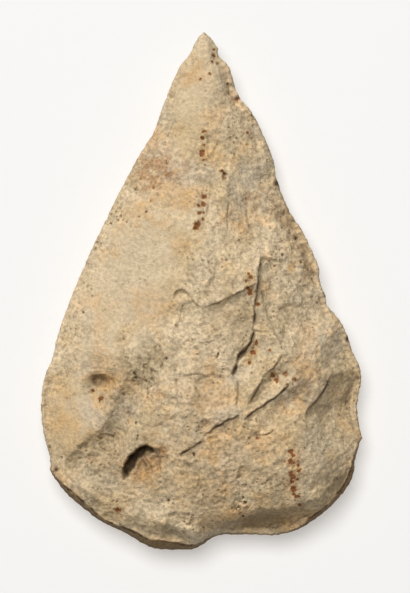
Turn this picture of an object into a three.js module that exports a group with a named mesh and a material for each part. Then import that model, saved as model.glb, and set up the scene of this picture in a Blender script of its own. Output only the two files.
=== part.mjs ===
// Stone hand axe: a large pointed biface of weathered chert, worked on both faces, 230 mm long.
// Millimetres. +Z is up and the axe lies on its lower face. +Y points from the butt to the tip.
// The origin is under the middle of the axe, on the surface that it lies on.
import * as THREE from "three";

// ---- driving sizes ------------------------------------------------------------------------
const EDGE_HEIGHT = 20; // mean height of the cutting edge above the ground
const UPPER_DOME = { height: 36.5, left: 0.66, right: 0.94 }; // full rise, and slope at each edge
const LOWER_DOME = { height: 28.5, left: 1, right: 1 }; // lower face, flatter in the middle
const CREST_ROUND = 0.5; // how far the crest between the two sides is rounded off, 0 for sharp
const RIM = { least: 0.8, butt: 7.5, right: 2, width: 3.4 }; // thick blunt rim, most of it at the butt

const AROUND = 156; // mesh steps round the edge, an even number
const UPPER_RINGS = 18; // mesh rings from the midline to the edge, upper face
const LOWER_RINGS = 10; // and lower face
const SPINE = { x: 1.5, tip: 100, butt: -60 }; // the midline that the rings close on
const STEP_BLUR = 3; // a step's wall is drawn out over this width, to suit the mesh

// ---- outline ------------------------------------------------------------------------------
// The edge as a run of flake bites: each row is the cusp where a bite starts, and how far the
// stretch from there to the next cusp bows out (+) or in (-). Tip, left side, butt, right side.
const LEFT_EDGE = [
  [1.1, 114.8, 0.8],
  [-4, 107.4, -0.5],
  [-9.3, 100.6, 0.5],
  [-19.5, 75.3, -0.6],
  [-24.9, 65, 0.4],
  [-41.7, 33.1, 0.4],
  [-56.4, 1.1, 0.3],
  [-65.3, -23.8, -0.7],
  [-68.4, -34.4, 1.1],
  [-71.3, -55, 0.5],
  [-68.4, -70.4, -0.5],
  [-67.5, -79.7, 1.2],
  [-54.2, -95.2, 0.9],
  [-38.6, -105.4, -0.4],
  [-26.2, -112.6, 1.2],
  [-10, -115, 0],
];
const RIGHT_EDGE = [
  [-10, -115, 1.2],
  [1.3, -112.6, -0.9],
  [9.5, -108.7, -0.3],
  [31.1, -109, 1.3],
  [48.8, -102.8, 0.6],
  [61.7, -91.2, 0.9],
  [67.9, -79.7, -0.8],
  [71.5, -65.5, -1.4],
  [70.2, -44.2, 1.2],
  [69.4, -31.5, -0.4],
  [65.2, -21, 1.1],
  [55.9, -6.9, -0.4],
  [55.5, -2.4, -1.1],
  [52.4, 9.5, 1.1],
  [40, 34, -0.4],
  [33.9, 48.6, -0.5],
  [32.9, 55.3, 0.5],
  [24, 76.6, 0.5],
  [17.6, 84.6, -0.5],
  [13.3, 97, 0.7],
  [8.2, 103.4, -0.5],
  [7.5, 107.2, 0.6],
  [1.1, 114.8, 0],
];

// ---- flake scars --------------------------------------------------------------------------
// Shallow bowls struck off a face. x, y is the middle, turn the bearing of the long way in
// degrees from +X, long and wide the half sizes, deep how far the bowl goes in at most.
const UPPER_SCARS = [
  { x: -58, y: -50, turn: 60, long: 27, wide: 16.5, deep: 3.6 }, // left shoulder
  { x: -46.5, y: -39.5, turn: 172, long: 9, wide: 4.2, deep: 3.6 }, // hollow in it
  { x: -42, y: -79, turn: 50, long: 31, wide: 22, deep: 3.4 }, // lower left corner
  { x: -31.5, y: -73.5, turn: 50, long: 7.5, wide: 4, deep: 6 }, // cavity
  { x: -30, y: -45, turn: 60, long: 15, wide: 9, deep: 1.2 }, // pitted patch
  { x: 3, y: -34, turn: 100, long: 22, wide: 17, deep: 1.5 }, // middle
  { x: 59, y: -54, turn: 70, long: 22, wide: 13, deep: 3 }, // right margin
  { x: 62, y: -27, turn: 60, long: 12, wide: 9, deep: 3 }, // right shoulder
  { x: 60, y: -83, turn: 40, long: 15, wide: 9, deep: 3 }, // lower right corner
  { x: 31, y: -104, turn: 3, long: 26, wide: 8.5, deep: 3.6 }, // butt bevel
  { x: -19, y: -110, turn: 170, long: 22, wide: 6, deep: 3.2 }, // butt left bevel
  { x: 46, y: -13, turn: 60, long: 17, wide: 13, deep: 1.6 }, // right of the leaf
  { x: 46, y: 18, turn: 118, long: 24, wide: 9, deep: 1.8 }, // rough right edge
  { x: 22, y: 40, turn: 98, long: 22, wide: 10, deep: 1.6 }, // right of the midline
  { x: 15, y: 88, turn: 110, long: 17, wide: 5, deep: 1.4 }, // tip, right
  { x: -21, y: 54, turn: 60, long: 11, wide: 8, deep: 0.9 }, // rusty patch
  { x: -47, y: 12, turn: 117, long: 30, wide: 13, deep: 0.9 }, // left flank
  { x: -9, y: 92, turn: 65, long: 15, wide: 6, deep: 0.7 }, // tip, left
];
const LOWER_SCARS = [
  { x: -52, y: -52, turn: 10, long: 27, wide: 19, deep: 3.6 },
  { x: 50, y: -62, turn: 165, long: 27, wide: 17, deep: 4 },
  { x: 57, y: -28, turn: 30, long: 22, wide: 14, deep: 3 },
  { x: -46, y: -12, turn: 155, long: 26, wide: 15, deep: 3 },
  { x: -34, y: 24, turn: 150, long: 24, wide: 15, deep: 2.6 },
  { x: 37, y: 12, turn: 25, long: 26, wide: 16, deep: 3 },
  { x: 25, y: 46, turn: 30, long: 22, wide: 13, deep: 2.4 },
  { x: -17, y: 62, turn: 150, long: 18, wide: 12, deep: 1.8 },
  { x: 5, y: 84, turn: 95, long: 18, wide: 8, deep: 1.4 },
  { x: -22, y: -92, turn: 65, long: 26, wide: 17, deep: 3.6 },
  { x: 22, y: -95, turn: 110, long: 24, wide: 17, deep: 4 },
  { x: 2, y: 22, turn: 80, long: 26, wide: 8, deep: 1.6 },
];

// ---- steps --------------------------------------------------------------------------------
// Where a sheet of stone has come away. The stone is lower on the left of the line as it is
// walked, by drop at the wall, and climbs back to its level over the distance fade.
const UPPER_STEPS = [
  { drop: 1.1, fade: 16, line: [[22.2, 2.4], [14.7, -1.6], [0.4, -7.3], [-3.6, -5.1],
    [-6.7, -0.7], [-9.8, 0.7], [-12, -3]] }, // rim of the smooth upper sheet
  { drop: 3, fade: 7, line: [[24.9, 15.8], [25.3, 6.9], [23.5, -2], [22.6, -15.3],
    [19.5, -22], [16, -27.3], [13.8, -36.2], [12, -39.7]] }, // long step down the middle
  { drop: 1.3, fade: 9, line: [[24.9, 12.7], [26.2, 0.2], [29.3, -12.2], [35.1, -23.3],
    [34.6, -28.6], [29.3, -36.2], [24.4, -42.4], [21.3, -48.6]] }, // rim of the leaf
  { drop: 2.4, fade: 13, line: [[37.7, -42.8], [26.6, -50.4], [15.1, -56], [4.9, -60.6],
    [-3.1, -68.6], [-9.8, -72.6]] }, // long slanting step
  { drop: 2.6, fade: 11, line: [[58.2, -35.7], [53.3, -42.4], [44.8, -53.9], [44, -59.3]] }, // right
];

// ---- helpers ------------------------------------------------------------------------------
const smooth = (low, high, v) => THREE.MathUtils.smoothstep(v, low, high);

// One side of the outline, from its cusps and bows.
function edgePath(cusps) {
  const path = new THREE.Path();
  path.moveTo(cusps[0][0], cusps[0][1]);
  for (let i = 0; i + 1 < cusps.length; i++) {
    const [x0, y0, bow] = cusps[i];
    const [x1, y1] = cusps[i + 1];
    const reach = (2 * bow) / Math.hypot(x1 - x0, y1 - y0);
    path.quadraticCurveTo((x0 + x1) / 2 - (y0 - y1) * reach, (y0 + y1) / 2 - (x1 - x0) * reach, x1, y1);
  }
  return path;
}

const left = edgePath(LEFT_EDGE);
const right = edgePath(RIGHT_EDGE);
const leftPoints = left.getSpacedPoints(240);
const rightPoints = right.getSpacedPoints(240);

// Distance from p to the segment a-b, how far along it the nearest point is (0 to 1), and the
// side that p is on: +1 on the left as one walks from a to b.
function toSegment(p, a, b) {
  const ab = new THREE.Vector2().subVectors(b, a);
  const ap = new THREE.Vector2().subVectors(p, a);
  const along = THREE.MathUtils.clamp(ap.dot(ab) / Math.max(ab.lengthSq(), 1e-9), 0, 1);
  const away = ap.clone().addScaledVector(ab, -along).length();
  return { away, along, side: ap.cross(ab) < 0 ? 1 : -1 };
}

function distanceTo(p, points) {
  let least = Infinity;
  for (let i = 0; i + 1 < points.length; i++) {
    least = Math.min(least, toSegment(p, points[i], points[i + 1]).away);
  }
  return least;
}

// How deep the flake scars cut at p: the deepest bowl wins, so neighbours meet in an arris.
function scarDepth(p, scars) {
  let deepest = 0;
  for (const { x, y, turn, long, wide, deep } of scars) {
    const local = new THREE.Vector2(p.x - x, p.y - y);
    local.rotateAround(new THREE.Vector2(), THREE.MathUtils.degToRad(-turn));
    const out = (local.x / long) ** 2 + (local.y / wide) ** 2;
    deepest = Math.max(deepest, deep * (1 - out));
  }
  return deepest;
}

function stepDepth(p, steps) {
  let total = 0;
  for (const { drop, fade, line } of steps) {
    const points = line.map(([x, y]) => new THREE.Vector2(x, y));
    let near = { away: Infinity };
    for (let i = 0; i + 1 < points.length; i++) {
      const found = toSegment(p, points[i], points[i + 1]);
      if (found.away < near.away) near = { ...found, place: (i + found.along) / (points.length - 1) };
    }
    const ends = smooth(0, 0.18, near.place) * smooth(0, 0.18, 1 - near.place);
    const wall = smooth(-STEP_BLUR, STEP_BLUR, near.side * near.away);
    total += drop * ends * wall * Math.exp(-Math.max(near.side * near.away, 0) / fade);
  }
  return total;
}

// Slow swells of the stone, the same field for both faces, read at two offsets.
const swell = (x, y) =>
  0.5 * Math.sin(x / 9.1 + y / 17.3) +
  0.45 * Math.sin(y / 8.3 - x / 21.7 + 1.3) +
  0.4 * Math.sin(x / 6.1 - y / 7.9 + 4.1);

const edgeHeight = (x, y) =>
  EDGE_HEIGHT + 1.5 * Math.sin(x / 27 + 0.4) * Math.cos(y / 31 + 1) + 1.1 * Math.sin(y / 14 + x / 38);

const rimHeight = (x, y) =>
  RIM.least + RIM.butt * smooth(58, 112, -y) + RIM.right * smooth(25, 65, x);

// A face climbs from each side of the edge and levels off. The lower of the two climbs holds,
// rounded off where they meet.
function domeRise({ height, left: leftSlope, right: rightSlope }, toLeft, toRight) {
  const a = height * (1 - Math.exp((-leftSlope * toLeft) / height));
  const b = height * (1 - Math.exp((-rightSlope * toRight) / height));
  const reach = Math.max((CREST_ROUND * (a + b)) / 2, 1e-6);
  const overlap = Math.max(reach - Math.abs(a - b), 0) / reach;
  return Math.min(a, b) - (overlap * overlap * reach) / 4;
}

// Height of a face above the edge plane at p, before its relief, and how much relief it takes.
function faceForm(p, dome, rimRise) {
  const toLeft = distanceTo(p, leftPoints);
  const toRight = distanceTo(p, rightPoints);
  const d = Math.min(toLeft, toRight);
  const rise = rimRise * (1 - Math.exp(-d / RIM.width)) + domeRise(dome, toLeft, toRight);
  return { rise, inside: smooth(0, 3, d) }; // relief dies out at the very edge
}

function upperSurface(p) {
  const { rise, inside } = faceForm(p, UPPER_DOME, rimHeight(p.x, p.y));
  const relief = 0.8 * swell(p.x, p.y) - scarDepth(p, UPPER_SCARS) - stepDepth(p, UPPER_STEPS);
  return edgeHeight(p.x, p.y) + rise + inside * relief;
}

function lowerSurface(p) {
  const { rise, inside } = faceForm(p, LOWER_DOME, RIM.least);
  const relief = 0.6 * swell(p.x + 60, p.y - 40) + scarDepth(p, LOWER_SCARS);
  return Math.max(0, edgeHeight(p.x, p.y) - rise + inside * relief);
}

// ---- mesh ---------------------------------------------------------------------------------
// Both faces are rings that shrink from the edge to the midline. Steps i and AROUND - i meet on
// the midline, so the innermost ring has only its first half.
function axeGeometry() {
  const half = AROUND / 2;
  const edge = [...left.getSpacedPoints(half), ...right.getSpacedPoints(half).slice(1, -1)];
  const spineOf = (i) => {
    const down = Math.min(i, AROUND - i) / half; // 0 at the tip, 1 at the butt
    return new THREE.Vector2(SPINE.x, THREE.MathUtils.lerp(SPINE.tip, SPINE.butt, down));
  };
  const positions = [];
  const index = [];
  const addVertex = (p, z) => positions.push(p.x, p.y, z) / 3 - 1;
  const rim = edge.map((p) => addVertex(p, edgeHeight(p.x, p.y)));

  const addFace = (rings, surface, facesUp) => {
    const grid = [];
    for (let ring = 0; ring < rings; ring++) {
      const row = [];
      for (let i = 0; i < AROUND; i++) {
        if (ring === 0 && i > half) {
          row.push(row[AROUND - i]);
          continue;
        }
        const p = spineOf(i).lerp(edge[i], ring / rings);
        row.push(addVertex(p, surface(p)));
      }
      grid.push(row);
    }
    grid.push(rim);
    for (let ring = 0; ring < rings; ring++) {
      for (let i = 0; i < AROUND; i++) {
        const j = (i + 1) % AROUND;
        const [a, b, c, d] = [grid[ring][i], grid[ring][j], grid[ring + 1][j], grid[ring + 1][i]];
        const quad = facesUp ? [[a, d, c], [a, c, b]] : [[a, c, d], [a, b, c]];
        for (const triangle of quad) {
          if (new Set(triangle).size === 3) index.push(...triangle);
        }
      }
    }
  };
  addFace(UPPER_RINGS, upperSurface, true);
  addFace(LOWER_RINGS, lowerSurface, false);

  const geometry = new THREE.BufferGeometry();
  geometry.setAttribute("position", new THREE.Float32BufferAttribute(positions, 3));
  geometry.setIndex(index);
  geometry.computeBoundingBox();
  const middle = geometry.boundingBox.getCenter(new THREE.Vector3());
  geometry.translate(-middle.x, -middle.y, 0);
  geometry.computeVertexNormals();
  return geometry;
}

// ---- model --------------------------------------------------------------------------------
const stone = new THREE.MeshStandardMaterial({ color: 0xcdb68f, roughness: 0.9, metalness: 0 });
const handAxe = new THREE.Mesh(axeGeometry(), stone);
handAxe.name = "hand_axe";

const part = new THREE.Group();
part.add(handAxe);

export default part;
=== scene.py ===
# Stone hand axe, dressed for the render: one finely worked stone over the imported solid.
import bpy
import math
import numpy as np
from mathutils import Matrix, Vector
from mathutils.geometry import delaunay_2d_cdt


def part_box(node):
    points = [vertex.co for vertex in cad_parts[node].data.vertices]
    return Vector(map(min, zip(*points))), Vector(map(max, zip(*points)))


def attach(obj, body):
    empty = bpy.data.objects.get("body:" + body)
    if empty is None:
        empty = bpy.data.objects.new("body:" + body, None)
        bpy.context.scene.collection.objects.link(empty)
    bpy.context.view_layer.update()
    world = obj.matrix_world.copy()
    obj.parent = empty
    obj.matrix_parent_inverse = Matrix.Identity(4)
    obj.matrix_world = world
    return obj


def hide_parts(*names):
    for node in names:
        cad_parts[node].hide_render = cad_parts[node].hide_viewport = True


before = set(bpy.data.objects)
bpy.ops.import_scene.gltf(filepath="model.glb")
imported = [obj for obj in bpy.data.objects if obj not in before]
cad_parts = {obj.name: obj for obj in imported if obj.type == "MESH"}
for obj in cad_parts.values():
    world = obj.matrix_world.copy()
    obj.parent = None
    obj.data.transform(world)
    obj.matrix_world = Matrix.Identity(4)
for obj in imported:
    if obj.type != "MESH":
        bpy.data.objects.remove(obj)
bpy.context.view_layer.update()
bpy.ops.object.select_all(action="DESELECT")
axeLow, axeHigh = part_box("hand_axe")
print("frame loaded, axe", [round(v * 1000, 1) for v in axeHigh - axeLow], "mm")


# ---- the stone: form, in millimetres; tip at +y, left and right as seen from above
stone = {
    "length": 230.085,       # of the solid that these numbers were chosen on
    "rimStep": 0.62,         # mesh spacing along the edge
    "upperStep": 0.62,       # on the upper face
    "lowerStep": 1.2,        # on the lower face
    "jitter": 0.16,          # of the spacing, either way
    "leastGap": 0.16,        # twice the least distance between two points
    "edgeHeight": 20,        # mean height of the edge above the floor
    "upperDome": (36.5, 0.66, 0.94),   # height, slope at the left edge, slope at the right
    "lowerDome": (28.5, 1, 1),
    "crestRound": 0.5,       # how softly the two slopes meet, for their height
    "domeGrid": 3, "domePasses": 22,   # spacing of the softened dome, and how often it is averaged
    "rimLeast": 0.8,         # least height of the blunt side of the edge,
    "sideSlope": 1.7,        # and how much more for each millimetre of its width
    "rimButt": 5.625,        # how much fuller the upper face is round the butt,
    "rimWidth": 3.4,         # and how far in from the edge that takes
    "facets": ((15, 1.4), (7.5, 0.8), (3.6, 0.42)),     # cell and height of the flat facets all over
    # smoother areas: middle, bearing, half length, half width
    "calmAreas": (((-29.7, 6.9), 65, 44, 22), ((-0.9, 91.2), 70, 34, 11), ((-56.4, -53.9), 70, 22, 13)),
    "seed": 7,
}

# the edge: cusps between flake bites, and how far each bite bows out
leftEdge = [
    (1.1, 114.8, 0.8), (-4, 107.4, -0.5), (-9.3, 100.6, 0.5), (-19.5, 75.3, -0.6),
    (-24.9, 65, 0.4), (-41.7, 33.1, 0.4), (-56.4, 1.1, 0.3), (-65.3, -23.8, -0.7),
    (-68.4, -34.4, 1.1), (-71.3, -55, 0.5), (-68.4, -70.4, -0.5), (-67.5, -79.7, 1.2),
    (-54.2, -95.2, 0.9), (-38.6, -105.4, -0.4), (-26.2, -112.6, 1.2), (-10, -115, 0),
]
rightEdge = [
    (-10, -115, 1.2), (1.3, -112.6, -0.9), (9.5, -108.7, -0.3), (31.1, -109, 1.3),
    (48.8, -102.8, 0.6), (61.7, -91.2, 0.9), (67.9, -79.7, -0.8), (71.5, -65.5, -1.4),
    (70.2, -44.2, 1.2), (69.4, -31.5, -0.4), (65.2, -21, 1.1), (55.9, -6.9, -0.4),
    (55.5, -2.4, -1.1), (52.4, 9.5, 1.1), (40, 34, -0.4), (33.9, 48.6, -0.5),
    (32.9, 55.3, 0.5), (24, 76.6, 0.5), (17.6, 84.6, -0.5), (13.3, 97, 0.7),
    (8.2, 103.4, -0.5), (7.5, 107.2, 0.6), (1.1, 114.8, 0),
]

# flake scars: middle x, y, bearing of the long way, half length, half width, depth
upperScars = [
    (-58, -50, 60, 27, 16.5, 3.6),      # left shoulder
    (-46.5, -39.5, 172, 9, 4.2, 3.6),   # hollow in it
    (-42, -79, 50, 31, 22, 3.4),        # lower left corner
    (-30, -45, 60, 15, 9, 1.2),         # pitted patch
    (3, -34, 100, 22, 17, 1.5),         # middle
    (59, -54, 70, 22, 13, 3),           # right margin
    (62, -27, 60, 12, 9, 3),            # right shoulder
    (60, -83, 40, 15, 9, 3),            # lower right corner
    (31, -104, 3, 26, 8.5, 3.6),        # butt bevel
    (-19, -110, 170, 22, 6, 3.2),       # butt left bevel
    (46, -13, 60, 17, 13, 1.6),         # right of the leaf
    (46, 18, 118, 24, 9, 1.8),          # rough right edge
    (22, 40, 98, 22, 10, 1.6),          # right of the midline
    (15, 88, 110, 17, 5, 1.4),          # tip, right
    (-21, 54, 60, 11, 8, 0.9),          # rusty patch
    (-47, 12, 117, 30, 13, 0.9),        # left flank
    (-9, 92, 65, 15, 6, 0.7),           # tip, left
    (23.5, -32.6, 57, 18, 6.5, 2.2),    # three flutes right of the long step
    (30.6, -41.5, 46, 17, 4.6, 2.4),
    (37.7, -51.3, 41, 17, 6, 2.4),
]
lowerScars = [
    (-52, -52, 10, 27, 19, 3.6), (50, -62, 165, 27, 17, 4), (57, -28, 30, 22, 14, 3),
    (-46, -12, 155, 26, 15, 3), (-34, 24, 150, 24, 15, 2.6), (37, 12, 25, 26, 16, 3),
    (25, 46, 30, 22, 13, 2.4), (-17, 62, 150, 18, 12, 1.8), (5, 84, 95, 18, 8, 1.4),
    (-22, -92, 65, 26, 17, 3.6), (22, -95, 110, 24, 17, 4), (2, 22, 80, 26, 8, 1.6),
]


def table(names, rows):
    return [dict(zip(names.split(), row)) for row in rows]


# steps, where a sheet of stone has come away: lower on the left of the line as it is walked.
# drop at the line, how far it takes to fade back to level, how far the line strays, dirt and painted
# shade at its foot
upperSteps = table("drop fade stray dirt line", [
    (2.4, 14, 0.5, 0.4, [(24.9, 4.2), (19.5, 0.7), (14.7, -1.6), (7.1, -5.1), (2.2, -7.3),
     (0.4, -7.3)]),  # rim of the smooth upper sheet
    (2.2, 6, 0.2, 0.5, [(0.9, -7.3), (-1.8, -6.4), (-3.6, -4.7), (-5.3, -2), (-7.1, -0.2), (-9.3, 0.7),
     (-11.5, -0.2), (-12.4, -2.9), (-12.4, -5.1)]),  # its lip
    (3, 7, 0.35, 0.75, [(26.6, 17.1), (25.3, 12.7), (24.9, 7.8), (24.2, 0.2), (23.3, -6), (22.9, -13.5),
     (22.2, -18)]),  # long step, upper part
    (3.4, 6, 0.6, 1, [(22.6, -15.8), (22, -21.1), (20, -25.1), (17.3, -26.9), (15.8, -29.5),
     (14.7, -33.5), (12.9, -37.5)]),  # and its deep lower part
    (1.3, 8, 0.25, 0.45, [(24.9, 10), (25.8, 2.4), (27.1, -6), (28.9, -11.3), (31.1, -16.6),
     (33.3, -20.6), (35.3, -23.8), (35.5, -27.8)]),  # far rim of the leaf
    (2.2, 8, 0.35, 0.75, [(35.5, -26.4), (34.2, -30), (31.1, -34), (27.5, -37.1), (25.3, -41.1),
     (23.1, -45.5), (20, -50.4)]),
    (3, 9, 0.45, 1.1, [(39.1, -40.2), (36.9, -42.4), (32.9, -46), (28.9, -49.1), (25.3, -51.3),
     (21.3, -53.9), (17.3, -57.1)]),  # long slanting step
    (2.6, 9, 0.5, 1, [(17.3, -53.9), (15.5, -54.8), (12.4, -56.2), (9.8, -57.5), (7.1, -59.3),
     (4.4, -61.1), (2.7, -61.9), (0, -64.2)]),
    (2, 8, 0.3, 1, [(0.9, -65), (-2.2, -67.3), (-6.2, -69.9), (-10.7, -72.2)]),
    (2.6, 11, 0.3, 1, [(58.6, -33.5), (57.3, -36.6), (55.5, -40.2), (53.3, -44.6), (51.1, -47.7),
     (48.4, -50), (45.7, -53.5), (44.4, -56.6)]),  # right step
    (0.8, 4, 0.2, 0.7, [(49.7, -49.5), (46.2, -48.6), (42.2, -47.7)]),
    (0.9, 5, 0.3, 0.3, [(3.1, 67.3), (2.4, 63.7), (2.9, 60.2), (3.1, 56.2)]),  # lines down the upper face
    (0.7, 4, 0.2, 0.55, [(3.3, 46.4), (3.6, 42.8), (3.3, 38.9), (2.2, 34.9), (1.8, 30.4)]),
    (1, 5, 0.3, 0.6, [(12.9, 47.3), (12.4, 43.3), (11.8, 38.9), (11.1, 34.9), (11.1, 30.4),
     (11.1, 25.5)]),
    (0.9, 7, 0.4, 0.2, [(19.1, 42), (19.8, 36.6), (20, 31.3), (20.9, 26.4), (24, 21.5), (26.6, 18)]),
    # oblique line near the tip
    (0.7, 5, 0.3, 0.2, [(-11.5, 70.8), (-6.7, 68.2), (-2.7, 65), (-0.4, 62.8)]),
    (1, 5, 0.6, 0.15, [(8, 66.4), (5.3, 62.8), (3.6, 58.8)]),
    # crease at the left edge
    (1.1, 7, 0.3, 0.5, [(-61.7, -20.6), (-58.6, -22.9), (-54.6, -25.1), (-50.2, -27.3)]),
    (2.6, 5, 0.3, 0.75, [(-33.7, -39.7), (-37.3, -37.7), (-40.8, -36.4), (-44.4, -36), (-47.5, -36.2),
     (-50.6, -38), (-54.2, -38.9)][::-1]),  # hollow on the left
    (7, 5.5, 0.3, 1, [(-19.5, -71.7), (-20.9, -69.7), (-23.5, -68.2), (-26.2, -68.8), (-29.3, -70.6),
     (-31.7, -73), (-33.1, -76.6), (-34.2, -81.5), (-35.1, -84.1)]),  # cavity
    # short cracks by the cavity
    (1, 4, 0.2, 0.7, [(-45.3, -63.7), (-42.6, -63), (-39.5, -63.7), (-37.7, -65)][::-1]),
    (0.9, 3, 0.2, 0.8, [(-45.7, -66.8), (-44.8, -69.5), (-42.6, -70.6), (-39.5, -71.3)]),
    (1, 5, 0.3, 0.55, [(-13.3, -39.3), (-9.3, -38.4), (-5.8, -36.6), (-2.2, -36), (1.8, -37.1),
     (4, -38)][::-1]),  # lips of the middle ripples
    (0.8, 5, 0.4, 0.3, [(2.2, -64.6), (3.1, -61.1), (5.3, -57.1)]),
    # brown groove below the steps
    (1.1, 4, 0.3, 0.75, [(32, -60.6), (29.3, -62.8), (26.2, -63.3), (23.1, -62.8)]),
    # cracks at the lower edge
    (1.4, 5, 0.3, 0.8, [(48, -98.8), (44.8, -100.1), (41.7, -101.9), (37.7, -105.5)]),
    (1, 5, 0.4, 0.4, [(16.6, -76.6), (16, -80.6), (14.7, -83.2), (11.5, -84.1)]),
    (1, 6, 0.4, 0.3, [(63.5, -76.1), (60.4, -77.9), (58.2, -79.7), (55.1, -81)]),
    # scratch low on the left
    (0.6, 3, 0.1, 0.6, [(-16.4, -85.9), (-14.2, -89.5), (-10.7, -92.1), (-8, -94.3)]),
    (0.5, 3, 0.2, 0.5, [(-38.6, 3.3), (-35.5, 1.6), (-31.5, 0.7)]),
])

# arrises, where the face turns down on the left of the line as walked:
# how far down, how far off it is lowest, and how much dull colour and painted shade it gets there
upperArrises = table("drop reach dull line", [
    (3.4, 8, 0.55, [(-30.2, -31.7), (-33.3, -37.1), (-35.5, -42), (-37.7, -48.6), (-40.4, -56.2),
     (-45.3, -61.1), (-51.5, -65.5), (-58.6, -73), (-65.3, -80.6)]),  # left facet
    (2, 13, 0.3, [(61.3, -27.3), (57.3, -36.6), (53.3, -44.6), (48.4, -50), (43.5, -59.3)]),
    (1.3, 5, 0.1, [(1.3, 113), (5.3, 102.3), (11.5, 86.8), (18.2, 71.3), (26.6, 55.7)]),  # tip
    (1.5, 8, 0.25, [(26.6, 58.8), (34.6, 40.2), (40, 24.6), (44.4, 12.7), (49.7, 2.4)]),
    (2, 7, 0.2, [(26.6, 17.1), (25.3, 11.8), (24.4, 4.7), (23.1, -6), (22.2, -19.3)]),
    # below the smooth sheet
    (1.6, 8, 0.3, [(24, 3.8), (14.7, -1.6), (7.1, -5.1), (0.4, -7.3), (-4.4, -3.8), (-10.7, -3.3)]),
    (2.6, 7, 0.55, [(64.4, -76.1), (55.9, -87.7), (44.4, -94.3), (29.3, -97), (16.9, -99.7),
     (3.6, -105.9)]),  # bevels of the butt
    (1.8, 6, 0.35, [(0, -107.2), (-16.4, -102.3), (-32, -98.3), (-47.5, -91.7), (-61.3, -79.7)]),
])

# thin cracks: half width, depth, dirt and painted shade in them
upperCracks = table("width deep dirt line", [
    (0.35, 0.8, 0.8, [(15.7, -38.9), (16, -42.4), (15.8, -46.4), (15.1, -50.8)]),
    (0.3, 0.5, 0.6, [(34.6, 10.4), (37.7, 7.8), (40, 6), (43.1, 4.2), (47.1, 0.7), (50.6, -1.6)]),
    (0.35, 0.5, 0.35, [(9.3, 19.3), (6.7, 16.6), (4.4, 12.7), (2.2, 8.2)]),
    (0.35, 0.5, 0.4, [(8.4, 33.1), (6.7, 28.6), (4.4, 25.1)]),
    (0.4, 0.5, 0.3, [(36.9, -14), (36, -20.2), (35.1, -26.4)]),
    (0.4, 0.5, 0.3, [(58.6, -4.2), (58.2, -12.2), (56.8, -17.5)]),
])

# rougher patches: middle, bearing, half length, half width, bearing of the grain,
# its cell along and across, height
roughPatches = table("at turn long wide grain rise", [
    ((43.5, -15.3), 100, 40, 17, (108, 4.6, 2.4), 0.71),
    ((53.3, -55.3), 75, 24, 12, (70, 5.7, 3), 0.42),
    ((0.4, -42), 80, 22, 13, (8, 4.0, 2.1), 0.71),
    ((11.5, 33.5), 95, 30, 13, (98, 4.9, 2.6), 0.51),
    ((38.2, 24.6), 118, 34, 8, (118, 3.4, 2.4), 0.85),
    ((-24.4, -34.4), 50, 15, 11, (30, 2.4, 1.8), 0.68),
    ((-34.2, -59.7), 60, 16, 9, (60, 3.0, 2), 0.51),
    ((-45.3, -79.7), 140, 24, 12, (0, 3.4, 2.6), 0.42),
    ((16.9, -81.9), 10, 44, 20, (22, 3.8, 2), 0.44),
    ((-16.4, -95.2), 160, 24, 12, (20, 4.2, 2.2), 0.44),
    ((13.3, -17.5), 90, 18, 11, (30, 4.6, 2.4), 0.51),
    ((-18.6, 52.6), 60, 13, 9, (60, 3.0, 2.4), 0.34),
    ((13.3, 84.6), 118, 24, 5, (115, 3.8, 2), 0.51),
])

# pitted patches: middle, bearing, half length, half width, cell, share of cells with a pit, depth
pittedPatches = table("at turn long wide cell share deep", [
    ((-32, -46.4), 60, 24, 9, 1.5, 0.4, 0.6),
    ((-41.7, -71.7), 150, 16, 8, 1.5, 0.4, 0.6),
    ((-23.1, -76.1), 60, 10, 6, 1.2, 0.7, 0.8),
    ((-19.1, 52.6), 60, 12, 8, 1.3, 0.5, 0.5),
    ((43.5, 18), 118, 30, 6, 1.6, 0.45, 0.7),
    ((16.9, -95.2), 0, 12, 6, 1.3, 0.6, 0.8),
    ((5.8, -79.7), 10, 60, 22, 2, 0.2, 0.6),
    ((43.5, -13.1), 100, 40, 18, 1.8, 0.18, 0.5),
    ((-24.9, -31.7), 45, 13, 9, 2.4, 0.5, 0.8),
    ((-35.5, -53.1), 75, 15, 5, 2.6, 0.4, 0.7),
    ((-51.5, -73), 150, 7, 4, 1.7, 0.6, 0.7),
    ((-17.3, -71.7), 90, 5, 4, 1.6, 0.7, 0.9),
    ((-23.1, -76.1), 60, 6, 4, 1.6, 0.6, 0.7),
    ((-36.4, -95.2), 150, 6, 5, 1.8, 0.5, 0.7),
    ((16.9, -94.3), 110, 6, 4.5, 1.5, 0.75, 0.8),
    ((34.6, 32.6), 118, 9, 5, 1.7, 0.6, 0.7),
    ((41.3, 11.3), 118, 12, 6, 2.6, 0.4, 0.6),
    ((-0.4, -105), 170, 6, 4, 1.6, 0.5, 0.6),
    ((-10.7, -44.2), 90, 9, 4, 2, 0.35, 0.6),
    ((-49.7, -45.5), 160, 12, 6, 3.2, 0.4, 0.5),
    ((-0.9, -79.7), 20, 40, 20, 4.2, 0.25, 0.4),
    ((-18.6, 13.5), 70, 50, 30, 6, 0.2, 0.25),
    ((8, -26.4), 70, 28, 20, 4, 0.3, 0.4),
])
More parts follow.
